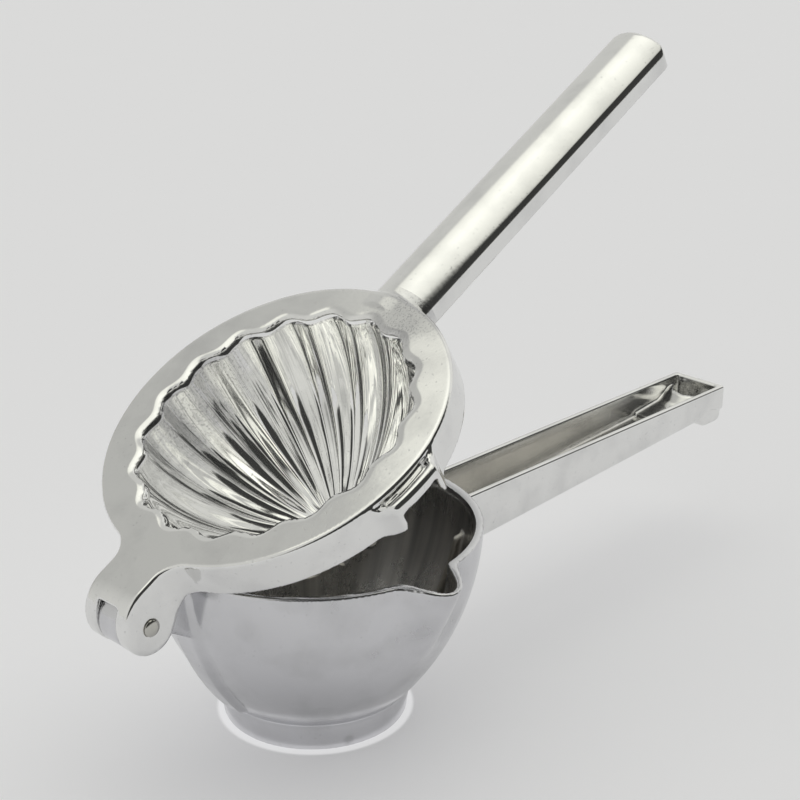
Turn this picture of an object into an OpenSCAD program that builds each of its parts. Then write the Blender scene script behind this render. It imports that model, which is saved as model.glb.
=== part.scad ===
// Hinged lemon squeezer: a footed bowl with a pouring spout, a hinged lid that carries a
// fluted press cup, and two long handles. Millimetres, +Z up, foot centre on the table at 0,0,0.
// +X runs from the hinge towards the handle ends, the spout is on the -Y side.

/* [Bowl] */
// Outer radius of the bowl at its rim
bowl_r = 45; // [43:0.5:52]
// Height of the rim above the table
bowl_h = 54.6; // [52:0.2:62]
// Thickness of the bowl's wall
wall = 2.2; // [1.8:0.1:2.6]
// Radius of the belly's side curve
belly_r = 72; // [68:1:90]
// Lean of the wall at the rim, degrees from upright
rim_draft = 2; // [0:0.5:4]
// Radius of the curve between the inner floor and the wall
floor_round = 8; // [4:0.5:10]

/* [Foot] */
// Radius of the foot ring where it stands
foot_r = 24.8; // [22:0.2:26]
// How much the foot ring flares by its top
foot_flare = 1.5; // [0.5:0.1:2]
// Height of the foot ring
foot_h = 9.5; // [8:0.1:11]
// Width of the ring that touches the table
foot_rim = 2.5; // [2:0.1:4]
// Depth of the hollow under the foot
recess_h = 4.6; // [3:0.1:6]
// Thickness of the bowl's floor
floor_t = 3; // [2.4:0.1:4]

/* [Spout] */
// Direction of the spout seen from above, degrees
spout_az = -92.5; // [-95:0.5:-85]
// How far the lip reaches past the rim
spout_reach = 9.5; // [7:0.5:11]
// Half the width of the spout where it leaves the rim
spout_half = 11.5; // [10.5:0.5:13]
// How far the lip dips at its tip
lip_dip = 1.4; // [1.2:0.1:2]
// Thickness of the wall at the lip's tip
lip_t = 1.5; // [1.3:0.1:2]
// Height at which the spout starts, as a share of the rim height
spout_from = 0.42; // [0.35:0.01:0.6]

/* [Stop rib] */
// Direction of the small rib inside the bowl, degrees
rib_az = -28.5; // [-40:0.5:-20]
// Width of the rib
rib_w = 2.2; // [1.6:0.1:3]
// How far the rib stands off the inner wall
rib_out = 2.1; // [1.5:0.1:2.3]
// Height of the rib's top under the bowl's rim
rib_drop = 9.6; // [8:0.2:14]

/* [Hinge] */
// Distance from the rim out to the pin
pin_out = 14.5; // [14:0.5:18]
// Height of the pin under the rim
pin_drop = 5.9; // [5:0.1:7]
// Radius of the hinge pin
pin_r = 1.8; // [1.5:0.1:2.1]
// Radial running clearance of the pin in the knuckle
pin_play = 0.05; // [0.02:0.01:0.1]
// Radius of the pin's domed heads
head_r = 2.25; // [2.2:0.05:3]
// Height of the pin's domed heads
head_h = 0.8; // [0.5:0.1:1.2]
// Thickness of the knuckle
knuckle_w = 7.5; // [6:0.5:9]
// Radius of the knuckle's round end
boss_r = 7.1; // [6.5:0.1:7.5]
// How far the web under the knuckle stands off the bowl's wall
web_out = 1.6; // [1:0.1:3]
// Thickness of each cheek of the lid's fork
cheek_w = 4.15; // [3:0.05:5]
// Free space on each side of the knuckle
side_play = 0.2; // [0.1:0.05:0.4]

/* [Lid] */
// Opening angle in the resting position, degrees
lid_open = 29.5; // [0:0.5:120]
// Thickness of the plate
plate_t = 4; // [3.4:0.1:5]
// Free height between the plate and the bowl's rim when shut
rim_gap = 0.25; // [0.2:0.05:0.5]
// Depth of the skirt's lower edge under the plate's top
skirt_drop = 10.35; // [9:0.05:10.6]
// Thickness of the skirt
skirt_t = 2; // [1.6:0.1:2.4]
// Free space between the skirt and the bowl's wall
skirt_gap = 0.5; // [0.4:0.1:1]
// Rounding of the plate's upper outer edge
edge_round = 0.6; // [0.3:0.1:1]
// Radius of the fillets between the plate and the hinge fork
neck_r = 5.5; // [3:0.5:8]
// Half the width of the notch that lets the spout through
notch_half = 6.3; // [6.3:0.1:7]
// Radius of the round bead along the hood over the spout
bead_r = 1.35; // [1:0.05:1.5]
// Depth of the tabs beside the notch under the plate's top
tab_drop = 12; // [11:0.1:13]

/* [Press cup] */
// Number of flutes round the cup
flutes = 18; // [12:1:20]
// Direction of the first groove, degrees
flute_turn = -2; // [-10:0.5:10]
// Middle radius of the opening in the plate's top
mouth_r = 38.3; // [36:0.1:39]
// Width of the bevel round the opening
bevel_w = 1.4; // [1:0.1:2]
// Height of the bevel round the opening
bevel_h = 1.2; // [0.8:0.1:1.6]
// Half the depth of the flutes at the mouth
flute_a = 1; // [0.6:0.1:1.2]
// Extra half depth of the flutes halfway down
flute_more = 0.5; // [0:0.1:0.8]
// Inner depth of the cup
cup_depth = 42; // [36:0.5:43]
// Fullness of the cup's side curve, where 2 is an ellipse
cup_full = 1.8; // [1.6:0.05:2]
// Thickness of the cup's wall
cup_wall = 2; // [1.6:0.1:2]

/* [Lower handle] */
// Distance of the lower handle's end from the foot's centre
low_end = 173.6; // [140:0.2:220]
// Width of the lower handle
low_w = 19.3; // [17:0.1:22]
// Height of the lower handle's top edges under the bowl's rim
low_drop = 6.6; // [6.4:0.1:8]
// Height of the lower handle where it meets the bowl
low_root_h = 15.8; // [13:0.1:18]
// Height of the lower handle at its end
low_end_h = 8.8; // [8:0.1:11]
// Thickness of the handles' walls
handle_wall = 1.8; // [1.5:0.1:2.4]
// Rounding of the lower handle's bottom edges
low_round = 2.4; // [1.5:0.1:3]
// Depth of the crest in front of the end pocket, under the top edges
crest_drop = 3.6; // [3:0.1:5]
// Radius of the end pocket
pocket_r = 7.7; // [6:0.1:8]
// Width of the ridge round the pocket at its top
ridge_w = 1.4; // [1:0.1:2]
// Length of the finger stop under the end
stop_len = 11; // [8:0.5:14]
// How far the finger stop stands out below the handle
stop_drop = 3.4; // [3:0.1:6]

/* [Upper handle] */
// Distance of the upper handle's end from the foot's centre, lid shut
up_end = 162.6; // [130:0.2:210]
// Width of the upper handle
up_w = 20.1; // [18:0.1:22]
// Depth of its lower edges under the plate's top
up_drop = 10.5; // [9.5:0.05:10.55]
// Depth of the line between its flat sides and its arch
up_crease = 5.3; // [4.5:0.1:6.5]
// Height of the arch above that line
up_arch = 4.6; // [3.5:0.1:5]
// Rounding of the upper handle's end, seen from above
up_round = 4; // [2:0.5:7]

/* [Hidden] */
$fn = 96;
e = 0.01; // small overlap for clean cuts

// Bowl: centre of the belly arc, which leans by rim_draft at the rim
belly_x = bowl_r - belly_r * cos(rim_draft);
belly_z = bowl_h + belly_r * sin(rim_draft);
function bowl_out(z) = belly_x + sqrt(pow(belly_r, 2) - pow(belly_z - z, 2));
function bowl_in(z) = belly_x + sqrt(pow(belly_r - wall, 2) - pow(belly_z - z, 2));
floor_z = recess_h + floor_t;
// Centre of the inner floor's rounding, which touches both the floor and the inner belly arc
round_z = floor_z + floor_round;
round_x = belly_x + sqrt(pow(belly_r - wall - floor_round, 2) - pow(belly_z - round_z, 2));
recess_r = foot_r - foot_rim;
foot_kink = 0.55; // share of the foot's height at which its side leans out more

// Hinge
pin_x = -(bowl_r + pin_out);
pin_z = bowl_h - pin_drop;
slot_half = knuckle_w / 2 + side_play;
fork_half = slot_half + cheek_w;

// Lid, all in its shut position
top_z = bowl_h + rim_gap + plate_t;
skirt_in = bowl_r + skirt_gap;
plate_r = skirt_in + skirt_t;
fork_top_r = top_z - pin_z;
fork_end_r = boss_r + 0.2;
fork_top_x = pin_x + fork_top_r - fork_end_r;
slot_roof = 2.2;
roof_drop = plate_t - 0.7; // depth of the hood's roof under the plate's top

// Press cup
seam_r = mouth_r - bevel_w;
cup_top = top_z - bevel_h;
groove_r = seam_r + flute_a;

// Handles
low_top = bowl_h - low_drop;
crest_x = low_end - handle_wall - pocket_r;
up_top = top_z - up_crease + up_arch;
stop_in = 1.5; // how far the finger stop's sides lie inside the handle's
stop_round = 2.6;
stop_t = 2.6; // metal left under the end pocket
arch_r = (pow(up_w / 2, 2) + pow(up_arch, 2)) / (2 * up_arch);

// ---- shared shapes ----

// Turns the lid's parts from the shut position to the resting one
module on_lid() {
    translate([pin_x, 0, pin_z]) rotate([0, -lid_open, 0]) translate([-pin_x, 0, -pin_z]) children();
}

// A side view in x and z, given thickness along y
module side_prism(w) {
    rotate([90, 0, 0]) linear_extrude(height = w, center = true) children();
}

// Closed skin over rings of points that each run out along one side and back along the other
module skin(rows) {
    n = len(rows[0]);
    m = len(rows);
    last = (m - 1) * n;
    polyhedron(
        points = [for (r = rows) each r],
        faces = concat(
            [for (i = [0:m - 2], j = [0:n - 1]) [i * n + (j + 1) % n, i * n + j, (i + 1) * n + j]],
            [for (i = [0:m - 2], j = [0:n - 1])
                [(i + 1) * n + (j + 1) % n, i * n + (j + 1) % n, (i + 1) * n + j]],
            [for (j = [0:n / 2 - 2]) each [[j, j + 1, n - 2 - j], [j, n - 2 - j, n - 1 - j]]],
            [for (j = [0:n / 2 - 2]) each [
                [last + j + 1, last + j, last + n - 2 - j],
                [last + n - 2 - j, last + j, last + n - 1 - j]]]
        )
    );
}

// ---- bowl ----

module bowl_outer_2d() {
    steps = 16;
    // the belly runs on inside the foot ring, so that the two always meet
    z0 = foot_h * foot_kink;
    polygon(concat(
        [[0, z0]],
        [for (i = [0:steps]) let (z = z0 + (bowl_h - z0) * i / steps) [bowl_out(z), z]],
        [[0, bowl_h]]
    ));
}

module bowl_inner_2d() {
    steps = 15;
    // the belly arc meets the floor's rounding at this height
    z0 = belly_z - (belly_z - round_z) * (belly_r - wall) / (belly_r - wall - floor_round);
    turn = acos((round_z - z0) / floor_round);
    polygon(concat(
        [[0, floor_z]],
        [for (i = [0:6]) [round_x + floor_round * sin(turn * i / 6), round_z - floor_round * cos(turn * i / 6)]],
        [for (i = [1:steps]) let (z = z0 + (bowl_h - z0) * i / steps) [bowl_in(z), z]],
        [[bowl_in(bowl_h), bowl_h + 1], [0, bowl_h + 1]]
    ));
}

module foot_2d() {
    polygon([
        [0, recess_h], [recess_r, recess_h], [recess_r, 0], [foot_r, 0],
        [foot_r + foot_flare * 0.4, foot_h * foot_kink], [foot_r + foot_flare, foot_h - 0.6],
        [foot_r + foot_flare - 0.4, foot_h], [0, foot_h]
    ]);
}

// Share of the spout's reach at an offset along the rim, in mm
function bump(x, half) = abs(x) >= half ? 0 : 0.5 + 0.5 * cos(180 * x / half);
function spout_share(z) = pow(max(0, (z - bowl_h * spout_from) / (bowl_h * (1 - spout_from))), 1.3);

// The spout as a swelling of the wall; an inset thins it all round for the channel
module spout_form(inset) {
    half = spout_half - 0.8 * inset;
    cols = 24;
    rows = 14;
    z0 = bowl_h * spout_from - 1;
    cut = inset > 0;
    bury = 0.3; // the swelling starts this far inside the wall's face
    over = cut ? 1.5 : 0;
    skin([for (i = [0:rows])
        let (z = z0 + (bowl_h - z0) * i / rows, top = i == rows, face = cut ? bowl_in(z) : bowl_out(z),
             reach = bury + (spout_reach + (cut ? inset - lip_t : 0)) * spout_share(z))
        concat(
            [for (j = [0:cols])
                let (x = half * (2 * j / cols - 1), b = bump(x, half), a = spout_az + x / bowl_r * 180 / PI,
                     r = face - bury + reach * b)
                [r * cos(a), r * sin(a), z + (top ? (cut ? over : -lip_dip * b) : 0)]],
            [for (j = [cols:-1:0])
                let (a = spout_az + half * (2 * j / cols - 1) / bowl_r * 180 / PI, r = face - bury - 0.8)
                [r * cos(a), r * sin(a), z + (top ? over : 0)]]
        )
    ]);
}

// Knuckle round the pin, on a web that follows the bowl's wall down to the foot
module knuckle_2d() {
    steps = 6;
    toe = foot_h + 1;
    head = pin_z - 1.5 * boss_r;
    translate([pin_x, pin_z]) circle(boss_r);
    polygon(concat(
        [[pin_x, pin_z + boss_r], [pin_x + boss_r, bowl_h - 0.5], [-bowl_r + 1, bowl_h - 0.5],
         [-bowl_out(toe) + wall, toe]],
        [for (i = [0:steps]) let (z = toe + (head - toe) * i / steps) [-bowl_out(z) - web_out, z]],
        [[-bowl_r - pin_out / 3, pin_z - boss_r], [pin_x + boss_r * 0.6, pin_z - boss_r * 0.8]]
    ));
}

module bowl() {
    color("silver")
    difference() {
        union() {
            rotate_extrude() bowl_outer_2d();
            rotate_extrude() foot_2d();
            spout_form(0);
            side_prism(knuckle_w) knuckle_2d();
        }
        difference() {
            rotate_extrude() bowl_inner_2d();
            // the rib stays proud of the inner wall
            rotate([0, 0, rib_az]) side_prism(rib_w) polygon([
                [bowl_in(floor_z + 8) - 1, floor_z], [bowl_in(floor_z + 8) - rib_out, floor_z + 8],
                [bowl_in(bowl_h / 2) - rib_out, bowl_h / 2],
                [bowl_in(bowl_h - rib_drop) - rib_out, bowl_h - rib_drop - 1.4],
                [bowl_in(bowl_h - rib_drop) + 1, bowl_h - rib_drop],
                [bowl_in(floor_z + 8) + 2, floor_z]
            ]);
        }
        spout_form(wall);
        translate([pin_x, 0, pin_z]) rotate([90, 0, 0])
            cylinder(r = pin_r + pin_play, h = knuckle_w + 2, center = true);
    }
}

// ---- lower handle ----

// Cross-section slab of the handle at x, shrunk by t for the channel
module low_slab(x, h, t) {
    r = max(0.6, low_round - t);
    translate([x, 0, 0]) hull() for (s = [-1, 1])
        translate([0, s * (low_w / 2 - t - r), low_top - h + t + r]) {
            rotate([0, 90, 0]) cylinder(r = r, h = 0.02, $fn = 32);
            translate([0, -r, 0]) cube([0.02, 2 * r, h - t - r + (t > 0 ? 2 : 0)]);
        }
}

module lower_handle() {
    x0 = bowl_r - 8;
    z_drop = (low_root_h - low_end_h) / (low_end - bowl_r);
    h0 = low_root_h + 8 * z_drop;
    low = low_top - low_end_h - stop_drop;
    floor_end = low_top - low_end_h + handle_wall;
    crest = low_top - crest_drop;
    color("silver")
    difference() {
        union() {
            hull() {
                low_slab(x0, h0, 0);
                low_slab(low_end - 0.02, low_end_h, 0);
            }
            // finger stop under the end, flush with it
            side_prism(low_w - 2 * stop_in) hull() {
                translate([low_end - stop_round, low + stop_round]) circle(stop_round);
                translate([low_end - stop_len + stop_drop, low + stop_drop]) circle(stop_drop);
                translate([low_end - stop_len, low + stop_drop]) square([stop_len, 1.5]);
            }
        }
        difference() {
            hull() {
                low_slab(x0 - 1, h0 + z_drop, handle_wall);
                low_slab(low_end - handle_wall, low_end_h, handle_wall);
            }
            // the floor climbs a little, then steeply to a ridge round the pocket
            side_prism(low_w) polygon([
                [crest_x - 2 * pocket_r, low], [crest_x - 2 * pocket_r, floor_end - 0.5],
                [crest_x - pocket_r, floor_end + 0.4], [crest_x, floor_end + 1.2], [low_end, floor_end + 1.2],
                [low_end, low]
            ]);
            translate([crest_x + pocket_r, 0, low]) cylinder(
                r1 = pocket_r + ridge_w + (crest - low) * 0.8, r2 = pocket_r + ridge_w, h = crest - low);
        }
        // end pocket over the finger stop
        intersection() {
            translate([crest_x + pocket_r, 0, low + stop_t])
                cylinder(r = pocket_r, h = low_end_h + stop_drop);
            translate([low_end - handle_wall - 20, -low_w, 0]) cube([20, 2 * low_w, low_top + 1]);
        }
        rotate_extrude() bowl_outer_2d();
    }
}

// ---- lid plate ----

// Scalloped outline: grooves outward, broad ribs inward
function wave(a) = 1 - 2 * pow(abs(sin(flutes / 2 * (a - flute_turn))), 2);

module scallop(levels) {
    steps = flutes * 6;
    skin([for (l = levels) [for (k = [0:steps - 1]) let (a = 360 * k / steps, r = l[0] + flute_a * wave(a))
        [r * cos(a), r * sin(a), l[1]]]]);
}

// Half outline of the neck in plan: fork sides with a fillet into the round plate
module neck_2d() {
    cy = fork_half + neck_r;
    cx = -sqrt(pow(plate_r + neck_r, 2) - pow(cy, 2));
    k = plate_r / (plate_r + neck_r);
    translate([pin_x - 20, -fork_half]) square([20 - pin_x, 2 * fork_half]);
    difference() {
        polygon([[cx, -fork_half], [cx * k, -cy * k], [0, 0], [cx * k, cy * k], [cx, fork_half]]);
        for (s = [-1, 1]) translate([cx, s * cy]) circle(neck_r);
    }
}

module fork_side_2d() {
    low = top_z - skirt_drop;
    // tangent from the fork's round end to the skirt's lower edge
    dx = -plate_r - 0.5 - pin_x;
    dz = low - pin_z;
    far = sqrt(pow(dx, 2) + pow(dz, 2));
    t = atan2(dz, dx) - acos(fork_end_r / far);
    translate([pin_x, pin_z]) circle(fork_end_r);
    intersection() {
        translate([fork_top_x, pin_z]) circle(fork_top_r);
        translate([pin_x - 20, pin_z]) square([40, 20]);
    }
    polygon([
        [pin_x, pin_z], [fork_top_x, top_z], [-skirt_in - 1, top_z], [-skirt_in - 1, low],
        [-plate_r - 0.5, low], [pin_x + fork_end_r * cos(t), pin_z + fork_end_r * sin(t)]
    ]);
}

// Depth of the skirt's lower edge beside the spout, by offset along the rim
function tab_low(x) = let (d = abs(x) - notch_half, c = 1.6, ramp = spout_half - notch_half + 1)
    d < c ? tab_drop - c + sqrt(max(0, c * c - pow(c - d, 2)))
    : d < ramp * 0.55 ? tab_drop - 0.25 * (d - c)
    : let (k = min(1, (d - ramp * 0.55) / (ramp * 0.45)))
        tab_drop - 0.25 * (ramp * 0.55 - c)
        - (tab_drop - 0.25 * (ramp * 0.55 - c) - skirt_drop) * k * k * (3 - 2 * k);
function notch_top(x) = let (d = notch_half - abs(x), c = 1.2, roof = plate_t + 0.9)
    d < c ? roof + c - sqrt(max(0, c * c - pow(c - d, 2))) : roof;

// How far the skirt swells out over the spout
function hood_reach(x) = spout_reach * bump(max(abs(x), notch_half), spout_half);

// Hood over the spout: the skirt follows the lip, its roof a step below the plate's top
module hood() {
    span = spout_half + 1;
    side = [for (i = [0:9]) notch_half + (span - notch_half) * pow(i / 9, 1.3)];
    mid = [for (i = [-8:8]) 0.995 * notch_half * sin(90 * i / 8)];
    xs = concat([for (i = [9:-1:0]) [-side[i], true]], [for (x = mid) [x, false]],
                [for (x = side) [x, true]]);
    root = skirt_in - 0.5;
    skin([for (c = xs)
        let (x = c[0], tab = c[1], reach = hood_reach(x),
             bury = 0.15 * max(0, 1 - 2 * reach), ri = skirt_in + reach + bury,
             ro = plate_r + reach - bury + 0.4 * bump(x, notch_half),
             deep = min(1, max(0.05, ro - plate_r) / 2), roof = 0.7 + (roof_drop - 0.7) * deep,
             low = tab ? tab_low(x) : notch_top(x), inner = tab ? ri : ro - 0.6,
             a = spout_az + x / bowl_r * 180 / PI,
             over = [for (i = [1:4]) [root + (ro - root) * i / 4, roof + 0.3 * pow(i / 4, 4)]],
             under = [for (i = [5:-1:0]) let (r = root + (inner - root) * i / 5)
                         [r, plate_t - 0.1 + 0.26 * max(0, r - plate_r)]])
        [for (p = concat([[root, roof]], over, [[ro, low]], [[inner, low]], under,
                         [[root - 0.01, plate_t - 0.15]]))
            [p[0] * cos(a), p[0] * sin(a), top_z - p[1]]]
    ]);
}

// Round bead along the hood's outer edge, with round ends
module bead() {
    n = 12;
    span = 0.8 * spout_half;
    turns = [75, 50, 25];
    stations = concat(
        [for (t = turns) [-span - bead_r * sin(t), cos(t)]],
        [for (i = [0:14]) [span * (2 * i / 14 - 1), 1]],
        [for (i = [2:-1:0]) [span + bead_r * sin(turns[i]), cos(turns[i])]]
    );
    skin([for (q = stations)
        let (a = spout_az + q[0] / bowl_r * 180 / PI, r = plate_r + hood_reach(q[0]) - bead_r,
             z = top_z - roof_drop + 0.2)
        [for (j = [0:n - 1]) let (t = 360 * (j + 0.5) / n)
            [(r - bead_r * q[1] * cos(t)) * cos(a), (r - bead_r * q[1] * cos(t)) * sin(a),
             z + bead_r * q[1] * sin(t)]]
    ]);
}

module lid_plate() {
    low = top_z - skirt_drop;
    color("silver")
    on_lid() difference() {
        union() {
            difference() {
                rotate_extrude() polygon([
                    [mouth_r - 6, top_z], [plate_r - edge_round, top_z],
                    [plate_r - edge_round * 0.3, top_z - edge_round * 0.3], [plate_r, top_z - edge_round],
                    [plate_r, low], [skirt_in, low], [skirt_in, top_z - plate_t],
                    [mouth_r - 6, top_z - plate_t]
                ]);
                // the plain skirt gives way to the hood beside the spout
                rotate([0, 0, spout_az])
                    translate([skirt_in - 4, -0.9 * spout_half, top_z - plate_t - 20])
                        cube([12, 1.8 * spout_half, 20]);
            }
            intersection() {
                translate([0, 0, pin_z - 20]) linear_extrude(height = top_z - pin_z + 20) neck_2d();
                side_prism(4 * fork_half) fork_side_2d();
            }
            hood();
            bead();
        }
        // opening for the press cup, with a bevelled edge
        scallop([[cup_wall + seam_r, top_z - plate_t - 1], [cup_wall + seam_r, cup_top],
                 [seam_r, cup_top], [seam_r + 0.25 * bevel_w, cup_top + 0.45 * bevel_h],
                 [seam_r + 0.6 * bevel_w, cup_top + 0.8 * bevel_h], [mouth_r, top_z],
                 [mouth_r, top_z + 1]]);
        // slot for the knuckle, open at the fork's end
        translate([pin_x - 20, -slot_half, pin_z - 20])
            cube([20 - pin_x - skirt_in + 0.5, 2 * slot_half, top_z - slot_roof - pin_z + 20]);
        translate([pin_x - 20, -slot_half, pin_z - 20])
            cube([20 - slot_roof - 0.9, 2 * slot_half, 60]);
        translate([pin_x, 0, pin_z]) rotate([90, 0, 0])
            cylinder(r = pin_r, h = 2 * fork_half + 2, center = true);
    }
}

// ---- press cup ----

// Points round the cup at level s (0 at the mouth, 90 at the bottom), t outside the inner face
function cup_ring(s, t, n) =
    let (rg = groove_r * pow(cos(s), 2 / cup_full),
         h = (cup_depth + t) * pow(sin(s), 2 / cup_full),
         amp = min(flute_a + flute_more * sin(2 * s), 0.09 * rg),
         sharp = 2 - 0.6 * min(1, s / 30))
    [for (k = [0:n - 1]) let (a = 360 * k / n,
        r = rg + t * pow(cos(s), 2 / cup_full)
            - 2 * amp * pow(abs(sin(flutes / 2 * (a - flute_turn))), sharp))
        [r * cos(a), r * sin(a), cup_top - h]];

module press_cup() {
    n = flutes * 6;
    levels = [0, 6, 11, 16, 21, 27, 33, 39, 46, 53, 60, 67, 74, 80, 85];
    color("gainsboro")
    on_lid() skin(concat(
        [for (i = [len(levels) - 1:-1:0]) cup_ring(levels[i], cup_wall, n)],
        [for (s = levels) cup_ring(s, 0, n)]
    ));
}

// ---- upper handle ----

// Bar with flat sides and an arched top, shrunk by t for the hollow
module handle_bar(t, x0, x1) {
    steps = 20;
    r = max(1, up_round - t);
    w = up_w / 2 - t;
    low = top_z - up_drop - (t > 0 ? 1 : 0);
    swing = asin(w / (arch_r - t));
    intersection() {
        translate([x0, 0, 0]) rotate([90, 0, 90]) linear_extrude(height = x1 - x0) polygon(concat(
            [[w, low]],
            [for (i = [0:steps]) let (a = swing * (1 - 2 * i / steps))
                [(arch_r - t) * sin(a), up_top - arch_r + (arch_r - t) * cos(a)]],
            [[-w, low]]
        ));
        translate([0, 0, low - 1]) linear_extrude(height = 30) polygon(concat(
            [[x0 - 1, -w - 1], [x1 - r, -w - 1]],
            [for (i = [0:8]) [x1 - r + r * sin(90 * i / 8), -w + r - r * cos(90 * i / 8)]],
            [for (i = [0:8]) [x1 - r + r * cos(90 * i / 8), w - r + r * sin(90 * i / 8)]],
            [[x1 - r, w + 1], [x0 - 1, w + 1]]
        ));
    }
}

module upper_handle() {
    color("silver")
    on_lid() difference() {
        handle_bar(0, bowl_r - 5, up_end);
        handle_bar(handle_wall, bowl_r - 6, up_end - handle_wall);
        translate([0, 0, top_z - 2 * up_drop]) cylinder(r = plate_r, h = 3 * up_drop);
    }
}

// ---- hinge pin ----

module hinge_pin() {
    dome_r = (pow(head_r, 2) + pow(head_h, 2)) / (2 * head_h);
    color("gray")
    on_lid() translate([pin_x, 0, pin_z]) rotate([90, 0, 0]) {
        cylinder(r = pin_r, h = 2 * fork_half, center = true);
        for (s = [0, 180]) rotate([s, 0, 0]) intersection() {
            translate([0, 0, fork_half + head_h - dome_r]) sphere(r = dome_r);
            translate([0, 0, fork_half]) cylinder(r = head_r, h = 2 * head_h);
        }
    }
}

bowl();
lower_handle();
lid_plate();
press_cup();
upper_handle();
hinge_pin();
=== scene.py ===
import math
from functools import partialmethod
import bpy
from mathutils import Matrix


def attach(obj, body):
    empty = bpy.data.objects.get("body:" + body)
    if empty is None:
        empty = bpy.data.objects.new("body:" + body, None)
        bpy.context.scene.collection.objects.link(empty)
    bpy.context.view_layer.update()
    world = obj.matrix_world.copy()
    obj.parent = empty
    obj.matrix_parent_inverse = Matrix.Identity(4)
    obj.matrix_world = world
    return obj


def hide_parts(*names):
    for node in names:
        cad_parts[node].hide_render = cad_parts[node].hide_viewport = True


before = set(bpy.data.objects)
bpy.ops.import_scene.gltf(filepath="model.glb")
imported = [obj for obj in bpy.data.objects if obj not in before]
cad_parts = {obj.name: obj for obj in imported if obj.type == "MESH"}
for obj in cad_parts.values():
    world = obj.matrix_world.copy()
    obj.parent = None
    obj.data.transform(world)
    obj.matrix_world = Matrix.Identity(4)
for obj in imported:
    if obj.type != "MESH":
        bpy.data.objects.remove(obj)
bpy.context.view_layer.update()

from types import SimpleNamespace

import bmesh
import bpy
import numpy as np
from bpy.props import FloatProperty, FloatVectorProperty, IntProperty, PointerProperty
from mathutils import Matrix, Vector

bl_info = {
    "name": "Hinged Lemon Squeezer",
    "version": (1, 0, 0),
    "blender": (4, 5, 0),
    "location": "3D View > Sidebar > Squeezer",
    "description": "Builds the polished castings, fluted cup and rivet of a hinged lemon squeezer",
    "category": "Add Mesh",
}


# ---- sizes and finishes


def mm(name, description, value):
    """A length property whose default is given in millimetres."""
    return FloatProperty(name=name, description=description, default=value / 1000, unit="LENGTH", precision=5)


def turn(name, description, degrees):
    """An angle property whose default is given in degrees."""
    return FloatProperty(name=name, description=description, default=math.radians(degrees), subtype="ANGLE")


def share(name, description, value):
    """A plain number property."""
    return FloatProperty(name=name, description=description, default=value)


def colour(name, description, *value):
    """A colour property."""
    return FloatVectorProperty(name=name, description=description, default=value, subtype="COLOR")


class SqueezerBowlSizes(bpy.types.PropertyGroup):
    """Bowl, foot and spout"""

    rim_r: mm("Rim radius", "Outer radius at the rim", 45)
    rim_z: mm("Rim height", "Height above the table", 54.6)
    wall: mm("Wall", "Thickness of the bowl's wall", 2.2)
    belly_r: mm("Belly radius", "Radius of the belly's side curve", 72)
    draft: turn("Rim draft", "Lean of the wall at the rim", 2)
    floor_round: mm("Floor rounding", "Radius between floor and wall", 8)
    floor_z: mm("Floor height", "Height of the inner floor", 7.6)
    foot_r: mm("Foot radius", "Radius on the table", 24.8)
    foot_flare: mm("Foot flare", "Widening by its top", 1.5)
    foot_h: mm("Foot height", "Height of the foot ring", 9.5)
    recess_r: mm("Recess radius", "Radius of the hollow below", 22.3)
    recess_h: mm("Recess depth", "Depth of the hollow below", 4.6)
    spout_turn: turn("Spout direction", "Direction seen from above", -92.5)
    spout_reach: mm("Spout reach", "Reach past the rim", 9.5)
    spout_half: mm("Spout half width", "Half its width at the rim", 11.5)
    spout_root: mm("Spout root height", "Height where it leaves the wall", 22.9)
    lip_dip: mm("Lip dip", "Dip at its tip", 1.4)
    lip_t: mm("Lip thickness", "Wall at its tip", 1.5)
    rib_turn: turn("Rib direction", "Direction of the rib inside", -28.5)
    rib_w: mm("Rib width", "Width of the rib inside", 2.2)
    rib_out: mm("Rib height", "Stand-off from the wall", 2.1)
    rib_drop: mm("Rib drop", "Depth of its top under the rim", 9.6)


class SqueezerHingeSizes(bpy.types.PropertyGroup):
    """Knuckle, fork and rivet"""

    pin_x: mm("Pin position", "Place along X", -59.5)
    pin_z: mm("Pin height", "Height above the table", 48.7)
    pin_r: mm("Pin radius", "Radius of the rivet's shank", 1.8)
    pin_play: mm("Pin play", "Radial clearance in the knuckle", 0.05)
    head_r: mm("Head radius", "Radius of the rivet's heads", 2.25)
    head_h: mm("Head height", "Height of the rivet's heads", 0.8)
    knuckle_half: mm("Knuckle half width", "Half the thickness of the knuckle", 3.75)
    boss_r: mm("Knuckle radius", "Radius of its round end", 7.1)
    web_out: mm("Web stand-off", "Stand-off of the web from the wall", 1.6)
    slot_half: mm("Slot half width", "Half the slot's width", 3.95)
    fork_half: mm("Fork half width", "Half the width of the fork", 8.1)
    fork_end_r: mm("Fork end radius", "Radius about the pin", 7.3)
    slot_roof: mm("Slot roof", "Metal left above the slot", 2.2)
    neck_r: mm("Neck fillet", "Radius between the fork and the plate", 5.5)


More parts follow.
